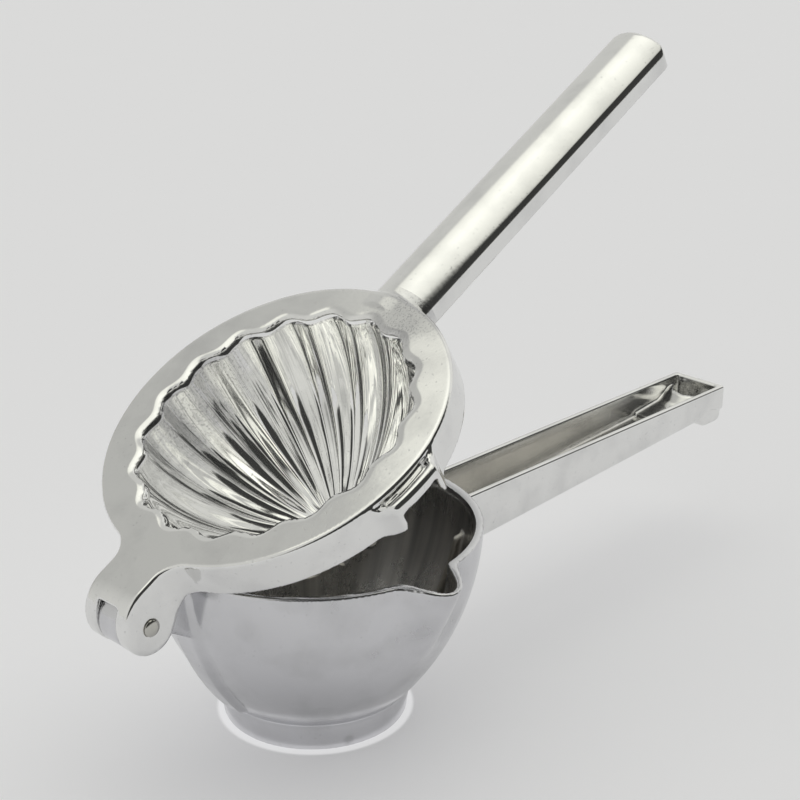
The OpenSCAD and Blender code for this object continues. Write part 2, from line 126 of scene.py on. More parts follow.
class SqueezerLidSizes(bpy.types.PropertyGroup):
    """Plate, skirt, tabs and hood, in the shut position"""

    opened: turn("Opening", "Opening of the lid at rest", 29.5)
    top_z: mm("Plate top", "Height of its top when shut", 58.85)
    plate_t: mm("Plate thickness", "Its thickness", 4)
    plate_r: mm("Plate radius", "Outer radius, skirt included", 47.5)
    skirt_r: mm("Skirt inner radius", "Inner radius of the skirt", 45.5)
    skirt_drop: mm("Skirt drop", "Its edge's depth under the top", 10.35)
    tab_drop: mm("Tab drop", "Depth beside the notch", 12)
    notch_half: mm("Notch half width", "Half its width", 6.3)
    mouth_r: mm("Mouth radius", "Middle radius of the scallops", 36.9)
    bevel_w: mm("Bevel width", "Width round the mouth", 1.7)
    bevel_turn: turn("Bevel slope", "Slope round the mouth", 23)
    bead_r: mm("Bead radius", "Radius of the bead on the hood", 1.35)
    roof_drop: mm("Hood drop", "Its roof's depth under the top", 3.3)


class SqueezerCupSizes(bpy.types.PropertyGroup):
    """Fluted press cup, in the shut position"""

    flutes: IntProperty(name="Flutes", description="Number round the cup", default=18, min=6)
    flute_turn: turn("Flute direction", "Direction of the first groove", -2)
    groove_r: mm("Groove radius", "Inner radius at the mouth", 37.9)
    cup_top: mm("Cup top", "Its height when shut", 57.65)
    depth: mm("Depth", "Inner depth of the cup", 42)
    wall: mm("Wall", "Its thickness", 2)
    flute_a: mm("Flute depth", "Half depth at the mouth", 1)
    flute_more: mm("Extra flute depth", "Extra half depth halfway down", 0.5)
    fullness: share("Fullness", "Side curve's exponent, 2 for an ellipse", 1.8)


class SqueezerHandleSizes(bpy.types.PropertyGroup):
    """Both handles, the upper one in its shut position"""

    wall: mm("Wall", "Thickness of both", 1.8)
    low_end: mm("Lower handle end", "Place along X", 173.6)
    low_half: mm("Lower half width", "Half its width", 9.65)
    low_top: mm("Lower handle top", "Height of its upper edges", 48)
    low_root_h: mm("Root height", "Lower handle's height at the bowl", 15.8)
    low_end_h: mm("End height", "Lower handle's height at its end", 8.8)
    low_round: mm("Bottom rounding", "Rounding of its bottom edges", 2.4)
    crest_drop: mm("Crest drop", "Depth before the end pocket", 2.8)
    pocket_r: mm("Pocket radius", "Radius of the end pocket", 7.7)
    ridge_w: mm("Ridge width", "Width round the end pocket", 0.9)
    stop_len: mm("Finger stop length", "Length under the end", 11)
    stop_drop: mm("Finger stop drop", "How far it stands out", 3.4)
    stop_in: mm("Finger stop inset", "Its sides' place inside the handle's", 0.8)
    arch_in: mm("Arch recess", "Depth over the finger stop", 1.5)
    up_end: mm("Upper handle end", "Place along X", 162.6)
    up_half: mm("Upper half width", "Half its width", 10.05)
    up_drop: mm("Upper edge drop", "Its depth under the plate's top", 10.5)
    up_top: mm("Arch top", "Height when shut", 58.15)
    arch_r: mm("Arch radius", "Radius of its arch", 13.28)
    up_round: mm("End rounding", "Rounding of its end seen from above", 3)
    split_x: mm("Split", "Where a handle becomes its own piece", 51)


class SqueezerFinish(bpy.types.PropertyGroup):
    """Metal finishes"""

    metal: colour("Metal", "Colour where polished", 0.83, 0.83, 0.82)
    # satin finish of the bowl's outside; its tone, darker than the lower handle's metal on the same casting,
    # is partly painted shade
    satin: colour("Satin metal", "Colour of the bowl's outside", 0.68, 0.68, 0.7)
    fluted: colour("Fluted metal", "Colour of the press cup", 0.96, 0.96, 0.95)
    rivet: colour("Rivet", "Colour of the rivet", 0.55, 0.54, 0.5)
    # colour of dull patches, also used for the painted shade above the foot
    dull_and_shade: colour("Dull and shade", "Colour of dull patches", 0.45, 0.45, 0.46)


class SqueezerStage(bpy.types.PropertyGroup):
    """Floor, studio and camera"""

    floor: colour("Floor glow", "The floor's own tone", 0.96, 0.96, 0.97)
    paper: colour("Paper", "Colour of the floor's paper", 0.92, 0.92, 0.95)
    backdrop: colour("Backdrop", "Tone past the floor's edge", 0.69, 0.69, 0.7)
    even: share("Evenness", "Share of its own tone against light", 0.35)
    azimuth: turn("Camera azimuth", "Direction round the object", -42.33)
    elevation: turn("Camera elevation", "Angle above the horizon", 26.58)
    distance: mm("Camera distance", "Distance from the point framed", 469.8)
    aim_z: mm("Aim height", "Height of the point framed", 40)
    aim_right: mm("Aim right", "Look to the right of that point", 24.16)
    aim_up: mm("Aim up", "Look above that point", 44.71)
    lens: share("Lens", "Focal length in mm on a sensor 36 mm wide", 79.38)
    lamp: share("Soft box", "Brightness in its middle", 1.32)
    lamp_turn: turn("Soft box direction", "Its narrow side, from above", 29.6)
    dark: share("Dark room", "Brightness before the table", 0.045)
    walls: share("Walls", "Brightness behind the table", 0.53)
    table: share("Table", "Brightness low in the room", 0.69)


def in_mm(group):
    """The group's values, with its lengths in millimetres and its angles in radians."""
    values = {}
    for prop in group.bl_rna.properties:
        if prop.identifier in ("rna_type", "name"):
            continue
        value = getattr(group, prop.identifier)
        values[prop.identifier] = value * 1000 if getattr(prop, "unit", "") == "LENGTH" else value
    return SimpleNamespace(**values)


def sizes(context, *names):
    """The values of the named groups."""
    return [in_mm(getattr(context.scene, "squeezer_" + name)) for name in names]


# ---- distance fields, in mm


def fuse(a, b, r=0.0):
    """Union of two fields with a fillet of radius r."""
    if r <= 0:
        return np.minimum(a, b)
    return np.maximum(r, np.minimum(a, b)) - np.hypot(np.maximum(r - a, 0), np.maximum(r - b, 0))


def meet(a, b, r=0.0):
    """What two fields share, with its edge rounded to radius r."""
    return -fuse(-a, -b, r)


def cut(a, b, r=0.0):
    """The first field without the second, with the edge rounded to radius r."""
    return meet(a, -b, r)


def outline(x, z, corners):
    """Distance to a closed polygon, negative inside."""
    nearest = np.full(x.shape, np.inf)
    inside = np.zeros(x.shape, bool)
    for (x0, z0), (x1, z1) in zip(corners, corners[1:] + corners[:1]):
        ex, ez = x1 - x0, z1 - z0
        t = np.clip(((x - x0) * ex + (z - z0) * ez) / (ex * ex + ez * ez), 0, 1)
        nearest = np.minimum(nearest, (x - x0 - t * ex) ** 2 + (z - z0 - t * ez) ** 2)
        if ez:
            inside ^= ((z0 <= z) != (z1 <= z)) & (x < x0 + (z - z0) * ex / ez)
    return np.where(inside, -1, 1) * np.sqrt(nearest)


def bump(x, half):
    """A smooth swelling, 1 at x = 0 and 0 from half outwards."""
    return 0.5 + 0.5 * np.cos(np.pi * np.clip(x / half, -1, 1))


def smooth(t):
    """A smooth step from 0 to 1."""
    t = np.clip(t, 0, 1)
    return t * t * (3 - 2 * t)


BATCH = 400000  # grid points that a field is worked out for at a time
NOT_ZERO = 1e-6  # stands for a field value of exactly zero, which is neither inside nor outside
FLAT, STRIDE = 0.05, 0.5  # least slope that is divided by, and the longest move in mm


def surface(field, low, high, cell):
    """Points and quads of the closed surface where the field is zero, a point to each crossed cell."""
    low = np.array(low, float)
    counts = np.ceil((np.array(high) - low) / cell).astype(int) + 1
    axes = [low[i] + cell * np.arange(counts[i]) for i in range(3)]
    grid = np.stack(np.meshgrid(*axes, indexing="ij"), -1).reshape(-1, 3)
    batches = np.array_split(grid, max(1, len(grid) // BATCH))
    d = np.concatenate([field(part) for part in batches]).reshape(counts)
    d[d == 0] = NOT_ZERO
    total = np.zeros(tuple(counts - 1) + (3,))
    hits = np.zeros(tuple(counts - 1))
    edges = []
    for axis in range(3):
        b, c = [i for i in range(3) if i != axis]
        first = [slice(None)] * 3
        second = [slice(None)] * 3
        first[axis], second[axis] = slice(0, -1), slice(1, None)
        da, db = d[tuple(first)], d[tuple(second)]
        where = np.argwhere((da < 0) != (db < 0))
        va, vb = da[tuple(where.T)], db[tuple(where.T)]
        point = where.astype(float)
        point[:, axis] += va / (va - vb)
        for sb in (0, 1):
            for sc in (0, 1):
                cells = where.copy()
                cells[:, b] -= sb
                cells[:, c] -= sc
                keep = np.all((cells >= 0) & (cells < counts - 1), axis=1)
                at = tuple(cells[keep].T)
                np.add.at(total, at, point[keep])
                np.add.at(hits, at, 1)
        edges.append((axis, b, c, where, va < 0))
    active = hits > 0
    index = np.full(active.shape, -1)
    index[active] = np.arange(active.sum())
    points = low + cell * (total[active] / hits[active][:, None])
    quads = []
    for axis, b, c, where, outward in edges:
        sides = where[:, [b, c]]
        keep = np.all((sides > 0) & (sides < counts[[b, c]] - 1), axis=1)
        where, outward = where[keep], outward[keep]
        corner = []
        for sb, sc in ((1, 1), (0, 1), (0, 0), (1, 0)):
            cells = where.copy()
            cells[:, b] -= sb
            cells[:, c] -= sc
            corner.append(index[tuple(cells.T)])
        quad = np.stack(corner, 1)
        flip = outward if axis == 1 else ~outward
        quad[flip] = quad[flip][:, ::-1]
        quads.append(quad)
    return points, np.concatenate(quads)


def onto(points, field, step=0.02, rounds=2):
    """The points moved along the field's slope onto its surface."""
    for _ in range(rounds):
        slope = np.stack([
            (field(points + step * e) - field(points - step * e)) / (2 * step) for e in np.eye(3)
        ], 1)
        size = np.maximum((slope ** 2).sum(1), FLAT)
        move = -(field(points) / size)[:, None] * slope
        far = np.linalg.norm(move, axis=1, keepdims=True)
        points = points + move * np.minimum(1, STRIDE / np.maximum(far, 1e-9))
    return points


def relaxed(points, quads, field, rounds=3):
    """The points evened out along the surface."""
    points = onto(points, field)
    a = np.concatenate([quads[:, i] for i in range(4)])
    b = np.concatenate([quads[:, (i + 1) % 4] for i in range(4)])
    a, b = np.concatenate([a, b]), np.concatenate([b, a])
    count = np.maximum(np.bincount(a, minlength=len(points)), 1)[:, None]
    for _ in range(rounds):
        mean = np.stack([np.bincount(a, points[b, k], len(points)) for k in range(3)], 1) / count
        points = onto(points + 0.5 * (mean - points), field, rounds=1)
    return onto(points, field)


# ---- the bowl's casting

NOWHERE = 50  # a field value well outside any shape, and its negative well inside

FOOT_GROOVE = (4.3, 7.3, 3.6)  # place outside the foot's radius, height, and radius
FOOT_TUCK = 2  # how far the belly reaches down behind the foot's top
RIM_STEP = 1  # beyond the rim the knuckle stands higher than it
RIB_TOP_SLOPE, RIB_TOP_DROP = 0.65, 1.2
BAR_INSIDE = 12  # how far inside the rim the lower handle's bar starts

ARCH_BACK, ARCH_UNDER, ARCH_R = 7.3, 4, 9.56  # recess over the finger stop: centre and radius
STOP_H, STOP_TIP_R = 8, 2.6  # the finger stop's height, and the rounding of its tip
CHANNEL_RISE = (-0.5, 0.4, 1.2)  # the channel's floor before its end, above the end's plain floor
RIDGE_SLOPE, RIDGE_SCALE = 1.1, 0.67  # the ridge's outer slope, and what makes its field a distance
POCKET_FLOOR = 2.6  # metal left under the end pocket
CHANNEL_FADE = (130, 30)  # where the channel's rough finish and its painted shade begin to fade, and over what length
STREAK_R = 40  # mean radius that turns angles into widths for the streaks


def spout_place(x, y, bowl):
    """Offset along the rim from the spout's middle, in mm."""
    angle = np.arctan2(y, x) - bowl.spout_turn
    return (np.mod(angle + np.pi, 2 * np.pi) - np.pi) * bowl.rim_r


def belly_centre(bowl):
    """Centre of the belly's side curve."""
    return (bowl.rim_r - bowl.belly_r * math.cos(bowl.draft),
            bowl.rim_z + bowl.belly_r * math.sin(bowl.draft))


def belly(rho, z, bowl, inset=0.0):
    """Distance to the belly's side curve, moved in by inset."""
    centre_x, centre_z = belly_centre(bowl)
    return np.hypot(rho - centre_x, z - centre_z) - (bowl.belly_r - inset)


def spout_swell(x, z, bowl, inset=0.0):
    """How far the wall swells out at the spout."""
    rise = np.clip((z - bowl.spout_root) / (bowl.rim_z - bowl.spout_root), 0, 1.1) ** 1.3
    thinner = bowl.wall - bowl.lip_t if inset else 0
    return (bowl.spout_reach + thinner) * rise * bump(x, bowl.spout_half - 0.8 * inset)


def inner_wall(rho, offset, z, bowl):
    """Distance to the wall's inside, spout included."""
    return belly(rho - spout_swell(offset, z, bowl, bowl.wall), z, bowl, bowl.wall)


def rim_height(rho, offset, bowl):
    """Height of the bowl's upper edge, which dips along the spout."""
    reach = np.maximum(rho - bowl.rim_r, 0) / bowl.spout_reach
    return bowl.rim_z - bowl.lip_dip * reach * bump(offset, bowl.spout_half * 1.4)


def low_bottom(x, bowl, handle):
    """Height of the lower handle's underside."""
    t = (x - bowl.rim_r) / (handle.low_end - bowl.rim_r)
    return handle.low_top - (handle.low_root_h + (handle.low_end_h - handle.low_root_h) * t)


def low_handle_field(p, bowl, handle):
    """The lower handle's bar and its hollow, before the bowl."""
    x, y, z = p.T
    bottom = low_bottom(x, bowl, handle)
    side = abs(y) - handle.low_half
    bar = meet(side, bottom - z, handle.low_round)
    low = handle.low_top - handle.low_end_h - handle.stop_drop
    # an arched recess over the finger stop's sides
    arch = np.hypot(x - handle.low_end + ARCH_BACK, z - low + ARCH_UNDER) - ARCH_R
    bar = cut(bar, meet(arch, handle.low_half - handle.arch_in - abs(y), 0.8), 0.5)
    stop = meet(handle.low_end - handle.stop_len - x, low - z, handle.stop_drop)
    stop = np.maximum(stop, meet(x - handle.low_end, low - z, STOP_TIP_R))
    stop = meet(meet(stop, side + handle.stop_in, 1.4), z - low - STOP_H)
    bar = fuse(bar, stop, 0.5)
    bar = meet(meet(bar, x - handle.low_end, 0.8), z - handle.low_top, 0.35)
    before = bowl.rim_r - BAR_INSIDE - x
    bar = np.maximum(bar, before)
    crest_x = handle.low_end - handle.wall - handle.pocket_r
    crest = handle.low_top - handle.crest_drop
    # the floor climbs a little, then steeply to a ridge round the pocket
    ramp_x = crest_x - 2 * handle.pocket_r
    floor_end = handle.low_top - handle.low_end_h + handle.wall
    ramp = np.interp(x, [ramp_x, crest_x - handle.pocket_r, crest_x], [floor_end + up for up in CHANNEL_RISE])
    floor = np.where(x < ramp_x, bottom + handle.wall, ramp)
    floor = np.maximum(floor, bottom + handle.wall)
    inner = meet(side + handle.wall, x - handle.low_end + handle.wall, 1.3)
    channel = meet(inner, floor - z, 1.4)
    round_pocket = np.hypot(x - crest_x - handle.pocket_r, y) - handle.pocket_r
    ridge = (round_pocket - handle.ridge_w - RIDGE_SLOPE * (crest - z)) * RIDGE_SCALE
    channel = cut(channel, meet(ridge, z - crest, 0.5), 1.0)
    pocket = meet(round_pocket, x - handle.low_end + handle.wall, 1.0)
    pocket = meet(meet(pocket, low + POCKET_FLOOR - z, 2), z - crest - 0.4)
    return bar, np.maximum(fuse(channel, pocket, 0.35), before)


def bowl_field(p, bowl, hinge, handle):
    """The whole bowl casting: bowl, foot, spout, rib, knuckle and lower handle."""
    x, y, z = p.T
    rho = np.hypot(x, y)
    offset = spout_place(x, y, bowl)
    body = belly(rho - spout_swell(offset, z, bowl), z, bowl)
    body = meet(body, bowl.foot_h - FOOT_TUCK - z)
    foot_side = rho - bowl.foot_r - bowl.foot_flare * np.clip(z / bowl.foot_h, 0, 1.2) ** 1.4
    foot = meet(meet(foot_side, z - bowl.foot_h, 0.7), -z, 1.0)
    past, up, groove_r = FOOT_GROOVE
    foot = cut(foot, np.hypot(rho - bowl.foot_r - past, z - up) - groove_r, 0.3)
    body = fuse(body, foot, 0.6)
    bar, hollow = low_handle_field(p, bowl, handle)
    body = fuse(body, bar, 2.2)
    body = fuse(body, knuckle_field(x, y, z, bowl, hinge), 1.6)
    # the knuckle and its pin boss stand higher than the rim
    body = np.where(x < -bowl.rim_r - RIM_STEP, body, meet(body, z - rim_height(rho, offset, bowl), 0.55))
    cavity = meet(inner_wall(rho, offset, z, bowl), bowl.floor_z - z, bowl.floor_round)
    angle = np.arctan2(y, x) - bowl.rib_turn
    out, across = rho * np.cos(angle), rho * np.sin(angle)
    along = belly(out, z, bowl, bowl.wall)
    rib_top = bowl.rim_z - bowl.rib_drop + RIB_TOP_SLOPE * np.clip(along + bowl.rib_out, 0, 4) - RIB_TOP_DROP
    rib = meet(meet(abs(across) - bowl.rib_w / 2, -along - bowl.rib_out, 0.5), z - rib_top, 0.4)
    cavity = cut(cavity, np.where(out > 0, rib, NOWHERE), 0.5)
    body = cut(body, cavity, 0.55)
    body = cut(body, meet(rho - bowl.recess_r, z - bowl.recess_h, 1.5), 0.4)
    body = cut(body, cut(hollow, belly(rho, z, bowl), 1.2), 0.4)
    bore = np.hypot(x - hinge.pin_x, z - hinge.pin_z) - hinge.pin_r - hinge.pin_play
    return cut(body, bore, 0.2)


def knuckle_field(x, y, z, bowl, hinge):
    """Knuckle and gusset under the hinge."""
    px, pz, r = hinge.pin_x, hinge.pin_z, hinge.boss_r
    boss = np.hypot(x - px, z - pz) - r
    toe, head, top = bowl.foot_h + 1, pz - 1.5 * r, bowl.rim_z - 0.6
    centre_x, centre_z = belly_centre(bowl)
    back = [(-centre_x - math.sqrt(bowl.belly_r ** 2 - (centre_z - h) ** 2) - hinge.web_out, h)
            for h in np.linspace(toe, head, 9)]
    web = outline(x, z, [
        (px, pz + r * 0.9), (px + r, top), (-bowl.rim_r + 3, top),
        (back[0][0] + hinge.web_out + bowl.wall, toe), *back,
        (-bowl.rim_r + (px + bowl.rim_r) / 3, pz - r), (px + r * 0.6, pz - r * 0.8),
    ])
    return meet(fuse(boss, web, 1.5), abs(y) - hinge.knuckle_half, 0.6)


def bowl_flow(p, bowl, handle):
    """Place for streaks, across and along, and share of the raw casting's rough, darker finish in the bowl
    and channel, whose darker colour is painted shade.
    """
    x, y, z = p.T
    rho = np.hypot(x, y)
    deep = smooth((bowl.rim_z - 0.8 - z) / 2)
    inside = smooth(0.5 - inner_wall(rho, spout_place(x, y, bowl), z, bowl)) * deep
    on_handle = x > bowl.rim_r - 1
    channel = smooth(handle.low_half - handle.wall + 0.6 - abs(y)) * smooth((handle.low_top - 1 - z) / 2)
    channel = channel * smooth(z - low_bottom(x, bowl, handle) - 0.8) * on_handle
    # the channel's rough finish and painted shade fade towards its end
    fading = 0.5 - 0.35 * smooth((x - CHANNEL_FADE[0]) / CHANNEL_FADE[1])
    return (np.where(on_handle, y, np.arctan2(y, x) * STREAK_R), np.where(on_handle, x, z),
            np.maximum(inside * (z > bowl.floor_z - 1), channel * fading))


# ---- the lid's casting

TAB_SHORT = (0.3, 0.8)  # how far the tabs stay short: away from the hinge, and on its side
TAB_SLOPE, TAB_SLOPE_LEN = 0.5, 5  # and how far they rise from the notch, over what length
TAB_R = 3.4  # rounding of the tabs' corners
NOTCH_IN = 0.8  # how far the notch's sides stand inside the tabs' ends
HOOD_STEP = 0.7  # depth of the hood's start under the plate's top
ROOF_MORE = 0.9  # how much thicker the hood's roof is than the plate
BEAD_SHARE = 0.8  # share of the spout's width along which the bead runs
FORK_ROOT_X, UP_ROOT_X = -38, 30  # where the fork ends in the plate, and where the upper handle is trimmed
LIP_GAP, LIP_OVER, LIP_SIDE = 0.35, 0.2, 0.6  # room round, over and beside the bowl's lip
SLOT_END = 3.1  # from how far behind the pin's axis the slot is open at the top
MOUTH_SCALE = 0.97  # what makes the wavy mouth's field a distance


def lid_field(p, bowl, hinge, lid, cup, handle):
    """The whole lid casting, shut: plate, skirt, tabs, hood, fork and upper handle."""
    x, y, z = p.T
    rho = np.hypot(x, y)
    depth = lid.top_z - z
    offset = spout_place(x, y, bowl)
    front = y < 0
    edge = bump(lid.notch_half, bowl.spout_half)
    near = np.minimum(bump(offset, bowl.spout_half), edge)
    reach = np.where(front, bowl.spout_reach * near, 0)
    disc = meet(meet(rho - lid.plate_r, -depth, 0.9), depth - lid.plate_t)
    # skirt: a shell that follows the spout, trimmed by its own unrolled outline
    shell = np.maximum(rho - lid.plate_r - reach, lid.skirt_r + reach - rho)
    past = abs(offset) - lid.notch_half
    ramp = bowl.spout_half - lid.notch_half + 1
    drop = lid.tab_drop - np.where(offset > 0, *TAB_SHORT) - TAB_SLOPE * smooth(past / TAB_SLOPE_LEN)
    low = lid.skirt_drop + (drop - lid.skirt_drop) * (1 - smooth((past - ramp * 0.4) / (ramp * 0.6)))
    low = np.where(front, low, lid.skirt_drop)
    notch = meet(past + NOTCH_IN, lid.plate_t + ROOF_MORE - depth, 1.2)
    sheet = cut(depth - low, np.where(front, notch, NOWHERE), TAB_R)
    # the roof of the hood starts a step under the plate's top
    hood_top = HOOD_STEP + (lid.roof_drop - HOOD_STEP) * np.clip(reach / 2, 0, 1) - depth
    skirt = meet(meet(shell, sheet, 0.4), hood_top, 0.3)
    roof = meet(meet(rho - lid.plate_r - reach, depth - lid.plate_t - ROOF_MORE, 0.4), hood_top, 0.3)
    roof = np.maximum(roof, lid.skirt_r - rho)
    # round bead along the hood's edge, with round ends
    bead_half = BEAD_SHARE * bowl.spout_half
    beyond = np.maximum(abs(offset) - bead_half, 0)
    at = bump(np.clip(offset, -bead_half, bead_half), bowl.spout_half)
    at = bowl.spout_reach * np.minimum(at, edge)
    out = rho - lid.plate_r - at + lid.bead_r
    bead = np.sqrt(out ** 2 + (depth - lid.roof_drop + 0.2) ** 2 + beyond ** 2)
    bead = np.where(front, bead - lid.bead_r, NOWHERE)
    body = fuse(disc, fuse(skirt, fuse(roof, bead, 0.35), 0.3), 0.25)
    body = np.where(abs(offset) < bowl.spout_half + 1, body, fuse(disc, skirt))
    # fork
    plan = np.maximum(abs(y) - hinge.fork_half, x - FORK_ROOT_X)
    plan = fuse(rho - lid.plate_r, plan, hinge.neck_r)
    fork = meet(meet(plan, fork_side(x, z, hinge, lid), 0.7), x - FORK_ROOT_X)
    body = fuse(body, fork)
    body = fuse(body, up_handle_bar(x, y, z, lid, handle, 0), 1.6)
    under = rho - lid.skirt_r - np.where(abs(offset) < lid.notch_half, 0, reach)
    body = cut(body, meet(under, lid.plate_t - depth, 0.8), 0.35)
    # room over the bowl's lip
    swell = bowl.spout_reach * bump(offset, bowl.spout_half)
    over = meet(rho - bowl.rim_r - swell - LIP_GAP, z - rim_height(rho, offset, bowl) - LIP_OVER)
    over = np.where(front & (abs(offset) < lid.notch_half + LIP_SIDE), over, NOWHERE)
    body = cut(body, over, 0.15)
    # nothing bulges under the upper handle's lower edges
    body = np.maximum(body, np.where(x > UP_ROOT_X, depth - handle.up_drop, -NOWHERE))
    hollow = up_handle_bar(x, y, z, lid, handle, handle.wall)
    body = cut(body, np.maximum(hollow, lid.plate_r - rho), 0.4)
    # slot for the knuckle
    side = abs(y) - hinge.slot_half
    slot = np.minimum(meet(side, hinge.slot_roof - depth, 0.3), meet(side, x - hinge.pin_x + SLOT_END, 0.3))
    body = cut(body, meet(slot, x + lid.skirt_r - 0.5), 0.4)
    body = cut(body, np.hypot(x - hinge.pin_x, z - hinge.pin_z) - hinge.pin_r, 0.2)
    # scalloped mouth with its bevel, and the seat of the cup under it
    wave = 1 - 2 * np.sin(cup.flutes / 2 * (np.arctan2(y, x) - cup.flute_turn)) ** 2
    mouth = (rho - lid.mouth_r - cup.flute_a * wave) * MOUTH_SCALE
    bevel = (lid.bevel_w - mouth) * math.sin(lid.bevel_turn) - depth * math.cos(lid.bevel_turn)
    body = cut(meet(body, bevel, 0.2), mouth, 0.25)
    return cut(body, meet(mouth - cup.wall, lid.top_z - cup.cup_top - depth), 0.15)


def fork_side(x, z, hinge, lid):
    """Side outline of the hinge fork."""
    px, pz, r = hinge.pin_x, hinge.pin_z, hinge.fork_end_r
    top_r = lid.top_z - pz
    top_x = px + top_r - r
    upper = meet(np.hypot(x - top_x, z - pz) - top_r, pz - z)
    low = lid.top_z - lid.skirt_drop
    corner_x, inner_x = -lid.plate_r - 0.5, -30
    # the lower edge runs from the skirt's corner as a tangent to the round end
    dx, dz = corner_x - px, low - pz
    t = math.atan2(dz, dx) - math.acos(r / math.hypot(dx, dz))
    body = outline(x, z, [
        (px, pz), (top_x, lid.top_z), (inner_x, lid.top_z), (inner_x, low), (corner_x, low),
        (px + r * math.cos(t), pz + r * math.sin(t)),
    ])
    return np.minimum(np.minimum(np.hypot(x - px, z - pz) - r, upper), body)


def up_handle_bar(x, y, z, lid, handle, inset):
    """Upper handle's bar with flat sides and an arched top, or its hollow, which is open below."""
    side = abs(y) - handle.up_half + inset
    centre_z = handle.up_top - handle.arch_r
    arch = np.hypot(y, z - handle.up_top + handle.arch_r) - handle.arch_r + inset
    arch = np.where(z > centre_z, arch, -NOWHERE)
    end = x - handle.up_end + inset
    bar = meet(meet(side, arch, 0.9), end, 0.9)
    bar = np.maximum(bar, meet(side, end, max(1.0, handle.up_round - inset)))
    low = lid.top_z - handle.up_drop - z - (2 if inset else 0)
    bar = meet(bar, low, 0 if inset else 0.4)
    return np.maximum(bar, lid.plate_r - 4 - x)


def lid_turn(hinge, lid):
    """Matrix in metres that turns the lid's pieces from shut to their resting place."""
    pin = Vector((hinge.pin_x, 0, hinge.pin_z)) / 1000
    return Matrix.Translation(pin) @ Matrix.Rotation(-lid.opened, 4, "Y") @ Matrix.Translation(-pin)


# ---- pieces


def new_object(name, mesh, material):
    """Links a mesh as an object at the origin."""
    obj = bpy.data.objects.new(name, mesh)
    bpy.context.scene.collection.objects.link(obj)
    mesh.materials.clear()
    mesh.materials.append(material)
    return obj


def piece(name, mesh, material, body, node_name):
    """Links a finished piece and puts it on its body, in the place of its CAD node."""
    obj = new_object(name, mesh, material)
    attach(obj, body)
    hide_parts(node_name)


def casting(name, body, node_name, material, field, low, high, cell, split, matrix=None, flow=None):
    """Piece of a casting, made from its field between two corners and split by a plane across X.

    split is the plane's place in mm and the side to keep. flow gives each point its place for streaks
    (across and along, in mm) and its share of the raw casting's rough finish, whose darker colour is painted
    shade.
    """
    points, quads = surface(field, low, high, cell)
    points = relaxed(points, quads, field)
    mesh = bpy.data.meshes.new(name)
    mesh.from_pydata((points / 1000).tolist(), [], quads.tolist())
    if flow is not None:
        across, along, cast_and_shade = flow(points)
        values = np.stack([across / 1000, along / 1000, cast_and_shade], 1)
        mesh.attributes.new("flow", "FLOAT_VECTOR", "POINT").data.foreach_set("vector", values.ravel())
    bm = bmesh.new()
    bm.from_mesh(mesh)
    at, keep = split
    done = bmesh.ops.bisect_plane(
        bm, geom=bm.verts[:] + bm.edges[:] + bm.faces[:], dist=1e-7, plane_co=(at / 1000, 0, 0),
        plane_no=(1, 0, 0), clear_outer=keep < 0, clear_inner=keep > 0)
    rim = [e for e in done["geom_cut"] if isinstance(e, bmesh.types.BMEdge) and e.is_boundary]
    made = bmesh.ops.holes_fill(bm, edges=rim, sides=0)
    for face in made["faces"]:
        for e in face.edges:
            e.smooth = False
    bmesh.ops.triangulate(bm, faces=made["faces"])
    bmesh.ops.delete(bm, geom=[v for v in bm.verts if not v.link_faces], context="VERTS")
    for face in bm.faces:
        face.smooth = True
    if matrix is not None:
        bm.transform(matrix)
    bm.to_mesh(mesh)
    bm.free()
    piece(name, mesh, material, body, node_name)


# ---- node trees


def feed(target, inputs):
    """Links wires to a node's inputs, given by name or place, and writes plain values into them."""
    for key, value in inputs.items():
        if isinstance(value, Wire):
            value.tree.links.new(value.socket, target.inputs[key])
        else:
            target.inputs[key].default_value = value


def node(tree, kind, inputs=(), output=0, **settings):
    """Wire from an output of a new node that has the given settings and inputs."""
    made = tree.nodes.new(kind)
    for name, value in settings.items():
        setattr(made, name, value)
    feed(made, dict(inputs))
    return Wire(tree, made.outputs[output])


class Wire:
    """A value in a node tree, on which plain arithmetic makes Math nodes."""

    def __init__(self, tree, socket):
        self.tree, self.socket = tree, socket

    def math(self, operation, *others):
        return node(self.tree, "ShaderNodeMath", enumerate((self, *others)), operation=operation)

    def step(self, start, stop):
        """Smooth step of the value, 0 at start and 1 at stop."""
        inputs = {"Value": self, "From Min": start, "From Max": stop}
        return node(self.tree, "ShaderNodeMapRange", inputs, interpolation_type="SMOOTHSTEP")

    def parts(self):
        """The X, Y and Z of a vector."""
        split = self.tree.nodes.new("ShaderNodeSeparateXYZ")
        feed(split, {0: self})
        return [Wire(self.tree, socket) for socket in split.outputs]

    def __rsub__(self, other):
        return self * -1 + other

    __add__ = partialmethod(math, "ADD")
    __sub__ = partialmethod(math, "SUBTRACT")
    __mul__ = partialmethod(math, "MULTIPLY")
    __truediv__ = partialmethod(math, "DIVIDE")
    __pow__ = partialmethod(math, "POWER")


def group_of(kind, name, inputs, outputs):
    """A node group with sockets given as (label, kind, default or nothing), and its inputs as wires."""
    tree = bpy.data.node_groups.new(name, kind)
    for in_out, sockets in (("INPUT", inputs), ("OUTPUT", outputs)):
        for label, of_kind, *default in sockets:
            socket = tree.interface.new_socket(label, in_out=in_out, socket_type="NodeSocket" + of_kind)
            if default:
                socket.default_value = default[0]
    given = tree.nodes.new("NodeGroupInput")
    return tree, {socket.name: Wire(tree, socket) for socket in given.outputs}


def mixed(tree, factor, a, b, blend_type="MIX"):
    """Colour a, turned to colour b or multiplied by it as far as the factor says."""
    inputs = {"Factor": factor, "A": a, "B": b}
    return node(tree, "ShaderNodeMix", inputs, "Result", data_type="RGBA", blend_type=blend_type)


